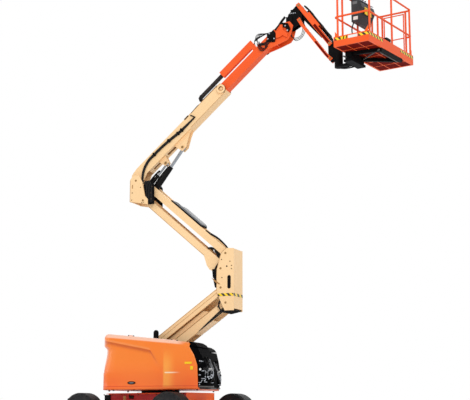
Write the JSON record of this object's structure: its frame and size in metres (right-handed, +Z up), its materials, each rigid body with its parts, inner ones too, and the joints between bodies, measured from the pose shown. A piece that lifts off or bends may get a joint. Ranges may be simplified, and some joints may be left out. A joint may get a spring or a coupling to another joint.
{
  "type": "articulating boom lift",
  "caption": "Four-wheeled articulating boom lift with folding tower, telescoping main boom, jib and work platform",
  "frame": {"origin": "centre of the footprint of the machine as stored, on the ground under the wheels", "axes": "+X is the chassis's forward direction, +Y its left, +Z up; the booms above the swing bearing are turned 13.2 degrees to the left"},
  "size_m": [5.9298, 3.179, 8.2046],
  "materials": {
    "frame_orange": "satin",
    "hood_orange": "gloss",
    "dark_steel": "satin",
    "boom_cream": "satin",
    "fly_orange": "gloss",
    "engine_grey": "satin",
    "tank_grey": "matte",
    "cylinder_black": "satin",
    "rod_chrome": "mirror",
    "tyre_rubber": "matte",
    "rim_cream": "satin"
  },
  "bodies": {
    "chassis": {"chassis_frame": "frame_orange", "swing_bearing": "dark_steel", "front_axle": "frame_orange", "rear_axle": "frame_orange"},
    "knuckle_left": {"knuckle_left": "frame_orange"},
    "knuckle_right": {"knuckle_right": "frame_orange"},
    "tie_rod": {"tie_rod": "dark_steel"},
    "turntable": {"turntable_deck": "frame_orange", "bulkheads": "dark_steel", "tower_mount": "dark_steel", "counterweight": "dark_steel", "machinery_end_left": "tank_grey", "machinery_end_right": "tank_grey", "engine_block": "engine_grey", "hydraulic_tank": "tank_grey", "exhaust": "dark_steel"},
    "hood_left": {"hood_left": "hood_orange"},
    "hood_right": {"hood_right": "hood_orange"},
    "lower_tower_boom": {"lower_tower_boom": "boom_cream"},
    "lower_tower_link": {"lower_tower_link": "boom_cream"},
    "mid_upright": {"mid_upright": "boom_cream"},
    "upper_tower_boom": {"upper_tower_boom": "boom_cream"},
    "upper_tower_link": {"upper_tower_link": "boom_cream"},
    "upper_upright": {"upper_upright": "boom_cream"},
    "main_boom": {"main_boom_base": "boom_cream"},
    "fly_boom": {"fly_boom": "fly_orange"},
    "energy_chain": {"energy_chain": "dark_steel"},
    "jib_knuckle": {"jib_knuckle": "dark_steel"},
    "jib_upper_link": {"jib_upper_link": "fly_orange", "jib_hose_tray": "dark_steel"},
    "jib_lower_link": {"jib_lower_link": "fly_orange"},
    "rotator_head": {"rotator_head": "dark_steel"},
    "platform": {"platform_support": "dark_steel", "platform_floor": "fly_orange", "platform_rails": "fly_orange", "control_console": "tank_grey"},
    "gate": {"platform_gate": "fly_orange"},
    "wheel_front_left": {"tyre_front_left": "tyre_rubber", "rim_front_left": "rim_cream"},
    "wheel_front_right": {"tyre_front_right": "tyre_rubber", "rim_front_right": "rim_cream"},
    "wheel_rear_left": {"tyre_rear_left": "tyre_rubber", "rim_rear_left": "rim_cream"},
    "wheel_rear_right": {"tyre_rear_right": "tyre_rubber", "rim_rear_right": "rim_cream"},
    "tower_lift_barrel": {"tower_lift_barrel": "cylinder_black"},
    "tower_lift_rod": {"tower_lift_rod": "rod_chrome"},
    "tower_fold_barrel": {"tower_fold_barrel": "cylinder_black"},
    "tower_fold_rod": {"tower_fold_rod": "rod_chrome"},
    "main_lift_barrel": {"main_lift_barrel": "cylinder_black"},
    "main_lift_rod": {"main_lift_rod": "rod_chrome"},
    "level_barrel": {"level_barrel": "cylinder_black"},
    "level_rod": {"level_rod": "rod_chrome"},
    "jib_lift_barrel": {"jib_lift_barrel": "cylinder_black"},
    "jib_lift_rod": {"jib_lift_rod": "rod_chrome"}
  },
  "joints": [
    {"name": "swing", "type": "hinge", "parent": "chassis", "child": "turntable", "pos_m": [-1.526, -0.421, 0.89], "axis": [0, 0, 1], "range_deg": [-190.7, 164.3]},
    {"name": "steer_left", "type": "hinge", "parent": "chassis", "child": "knuckle_left", "pos_m": [-0.506, 0.374, 0.42], "axis": [0, 0, 1], "range_deg": [-38, 38]},
    {"name": "steer_right", "type": "hinge", "parent": "chassis", "child": "knuckle_right", "pos_m": [-0.506, -1.216, 0.42], "axis": [0, 0, 1], "range_deg": [-38.01, 38.01]},
    {"name": "tie_rod_pin", "type": "hinge", "parent": "knuckle_left", "child": "tie_rod", "pos_m": [-0.336, 0.374, 0.55], "axis": [0, 0, 1], "range_deg": [-38.01, 38.01]},
    {"name": "wheel_front_left_spin", "type": "hinge", "parent": "knuckle_left", "child": "wheel_front_left", "pos_m": [-0.506, 0.599, 0.42], "axis": [0, 1, 0], "continuous": true},
    {"name": "wheel_front_right_spin", "type": "hinge", "parent": "knuckle_right", "child": "wheel_front_right", "pos_m": [-0.506, -1.441, 0.42], "axis": [0, 1, 0], "continuous": true},
    {"name": "wheel_rear_left_spin", "type": "hinge", "parent": "chassis", "child": "wheel_rear_left", "pos_m": [-2.546, 0.599, 0.42], "axis": [0, 1, 0], "continuous": true},
    {"name": "wheel_rear_right_spin", "type": "hinge", "parent": "chassis", "child": "wheel_rear_right", "pos_m": [-2.546, -1.441, 0.42], "axis": [0, 1, 0], "continuous": true},
    {"name": "tower_raise", "type": "hinge", "parent": "turntable", "child": "lower_tower_boom", "pos_m": [-1.85204, -0.49747, 1.23386], "axis": [0.2284, -0.9736, 0], "range_deg": [-40.5, 31.5]},
    {"name": "lower_link_hinge", "type": "hinge", "parent": "turntable", "child": "lower_tower_link", "pos_m": [-1.94745, -0.51985, 1.51886], "axis": [0.2284, -0.9736, 0], "range_deg": [-40.51, 31.51]},
    {"name": "mid_upright_hinge", "type": "hinge", "parent": "lower_tower_boom", "child": "mid_upright", "pos_m": [-0.15325, -0.09903, 2.49], "axis": [0.2284, -0.9736, 0], "range_deg": [-31.51, 40.51]},
    {"name": "upper_boom_hinge", "type": "hinge", "parent": "mid_upright", "child": "upper_tower_boom", "pos_m": [-0.25061, -0.12186, 3.135], "axis": [0.2284, -0.9736, 0], "range_deg": [-31.51, 40.51]},
    {"name": "upper_link_hinge", "type": "hinge", "parent": "mid_upright", "child": "upper_tower_link", "pos_m": [-0.1552, -0.09948, 3.42], "axis": [0.2284, -0.9736, 0], "range_deg": [-31.51, 40.51]},
    {"name": "upper_upright_hinge", "type": "hinge", "parent": "upper_tower_boom", "child": "upper_upright", "pos_m": [-1.83634, -0.49379, 4.53843], "axis": [0.2284, -0.9736, 0], "range_deg": [-40.51, 31.51]},
    {"name": "tower_lift_barrel_hinge", "type": "hinge", "parent": "turntable", "child": "tower_lift_barrel", "pos_m": [-1.60864, -0.44038, 0.98386], "axis": [0.2284, -0.9736, 0], "range_deg": [-39.65, 30.84]},
    {"name": "tower_lift_rod_slide", "type": "slide", "parent": "tower_lift_barrel", "child": "tower_lift_rod", "axis": [0.5889, 0.1381, 0.7964], "range_m": [-0.24129, 0.18778]},
    {"name": "tower_fold_barrel_hinge", "type": "hinge", "parent": "lower_tower_boom", "child": "tower_fold_barrel", "pos_m": [-0.2604, -0.12416, 2.38613], "axis": [0.2284, -0.9736, 0], "range_deg": [-32.7, 42.05]},
    {"name": "tower_fold_rod_slide", "type": "slide", "parent": "tower_fold_barrel", "child": "tower_fold_rod", "axis": [-0.257, -0.0603, 0.9645], "range_m": [-0.23477, 0.18271]},
    {"name": "main_boom_lift", "type": "hinge", "parent": "upper_upright", "child": "main_boom", "pos_m": [-1.98942, -0.5297, 4.939], "axis": [0.2284, -0.9736, 0], "range_deg": [-40.3, 33.2]},
    {"name": "main_lift_barrel_hinge", "type": "hinge", "parent": "upper_upright", "child": "main_lift_barrel", "pos_m": [-1.78887, -0.48266, 4.62], "axis": [0.2284, -0.9736, 0], "range_deg": [-36.52, 30.09]},
    {"name": "main_lift_rod_slide", "type": "slide", "parent": "main_lift_barrel", "child": "main_lift_rod", "axis": [0.5824, 0.1366, 0.8013], "range_m": [-0.24963, 0.20574]},
    {"name": "level_barrel_hinge", "type": "hinge", "parent": "upper_upright", "child": "level_barrel", "pos_m": [-1.87649, -0.50321, 4.76], "axis": [0.2284, -0.9736, 0], "range_deg": [-37.43, 30.84]},
    {"name": "level_rod_slide", "type": "slide", "parent": "level_barrel", "child": "level_rod", "axis": [0.6318, 0.1482, 0.7608], "range_m": [-0.14385, 0.1186]},
    {"name": "telescope", "type": "slide", "parent": "main_boom", "child": "fly_boom", "axis": [0.7258, 0.1702, 0.6665], "range_m": [-0.85, 0.6]},
    {"name": "chain_travel", "type": "slide", "parent": "main_boom", "child": "energy_chain", "axis": [0.7258, 0.1702, 0.6665], "range_m": [-0.4255, 0.3005]},
    {"name": "knuckle_level", "type": "hinge", "parent": "fly_boom", "child": "jib_knuckle", "pos_m": [1.06039, 0.18563, 7.76668], "axis": [0.2284, -0.9736, 0], "range_deg": [-33.21, 40.31]},
    {"name": "jib_raise", "type": "hinge", "parent": "jib_knuckle", "child": "jib_upper_link", "pos_m": [1.25802, 0.23199, 8.14468], "axis": [0.2284, -0.9736, 0], "range_deg": [-6, 138]},
    {"name": "jib_lower_hinge", "type": "hinge", "parent": "jib_knuckle", "child": "jib_lower_link", "pos_m": [1.26289, 0.23313, 7.85968], "axis": [0.2284, -0.9736, 0], "range_deg": [-6.01, 138.01]},
    {"name": "jib_head_hinge", "type": "hinge", "parent": "jib_upper_link", "child": "rotator_head", "pos_m": [1.84173, 0.36889, 7.31948], "axis": [0.2284, -0.9736, 0], "range_deg": [-138.01, 6.01]},
    {"name": "jib_lift_barrel_hinge", "type": "hinge", "parent": "jib_knuckle", "child": "jib_lift_barrel", "pos_m": [1.26776, 0.23427, 7.99468], "axis": [0.2284, -0.9736, 0], "range_deg": [-5.97, 137.13]},
    {"name": "jib_lift_rod_slide", "type": "slide", "parent": "jib_lift_barrel", "child": "jib_lift_rod", "axis": [0.6403, 0.1502, -0.7533], "range_m": [-0.01325, 0.29386]},
    {"name": "platform_rotate", "type": "hinge", "parent": "rotator_head", "child": "platform", "pos_m": [1.98289, 0.402, 7.03948], "axis": [0, 0, 1], "range_deg": [-76.8, 103.2]},
    {"name": "gate_hinge", "type": "hinge", "parent": "platform", "child": "gate", "pos_m": [2.78389, 1.569, 7.63948], "axis": [0, 0, 1], "range_deg": [0, 90]},
    {"name": "hood_left_hinge", "type": "hinge", "parent": "turntable", "child": "hood_left", "pos_m": [-1.61346, -0.04812, 1.855], "axis": [0.9673, 0.2269, -0.1132], "range_deg": [0, 50]},
    {"name": "hood_right_hinge", "type": "hinge", "parent": "turntable", "child": "hood_right", "pos_m": [-1.43854, -0.79388, 1.855], "axis": [-0.9673, -0.2269, 0.1132], "range_deg": [0, 50]}
  ],
  "couplings": [
    {"joint": "steer_right", "follows": "steer_left", "ratio": 1},
    {"joint": "tie_rod_pin", "follows": "steer_left", "ratio": -1},
    {"joint": "lower_link_hinge", "follows": "tower_raise", "ratio": 1},
    {"joint": "mid_upright_hinge", "follows": "tower_raise", "ratio": -1},
    {"joint": "upper_boom_hinge", "follows": "tower_raise", "ratio": -1},
    {"joint": "upper_link_hinge", "follows": "tower_raise", "ratio": -1},
    {"joint": "upper_upright_hinge", "follows": "tower_raise", "ratio": 1},
    {"joint": "tower_lift_barrel_hinge", "follows": "tower_raise", "ratio": 0.9787},
    {"joint": "tower_lift_rod_slide", "follows": "tower_raise", "m_per_rad": 0.34065},
    {"joint": "tower_fold_barrel_hinge", "follows": "tower_raise", "ratio": -1.0379},
    {"joint": "tower_fold_rod_slide", "follows": "tower_raise", "m_per_rad": 0.33142},
    {"joint": "main_lift_barrel_hinge", "follows": "main_boom_lift", "ratio": 0.906},
    {"joint": "main_lift_rod_slide", "follows": "main_boom_lift", "m_per_rad": 0.3542},
    {"joint": "level_barrel_hinge", "follows": "main_boom_lift", "ratio": 0.9286},
    {"joint": "level_rod_slide", "follows": "main_boom_lift", "m_per_rad": 0.20381},
    {"joint": "chain_travel", "follows": "telescope", "ratio": 0.5},
    {"joint": "knuckle_level", "follows": "main_boom_lift", "ratio": -1},
    {"joint": "jib_lower_hinge", "follows": "jib_raise", "ratio": 1},
    {"joint": "jib_head_hinge", "follows": "jib_raise", "ratio": -1},
    {"joint": "jib_lift_barrel_hinge", "follows": "jib_raise", "ratio": 0.9936},
    {"joint": "jib_lift_rod_slide", "follows": "jib_raise", "m_per_rad": 0.1218}
  ]
}
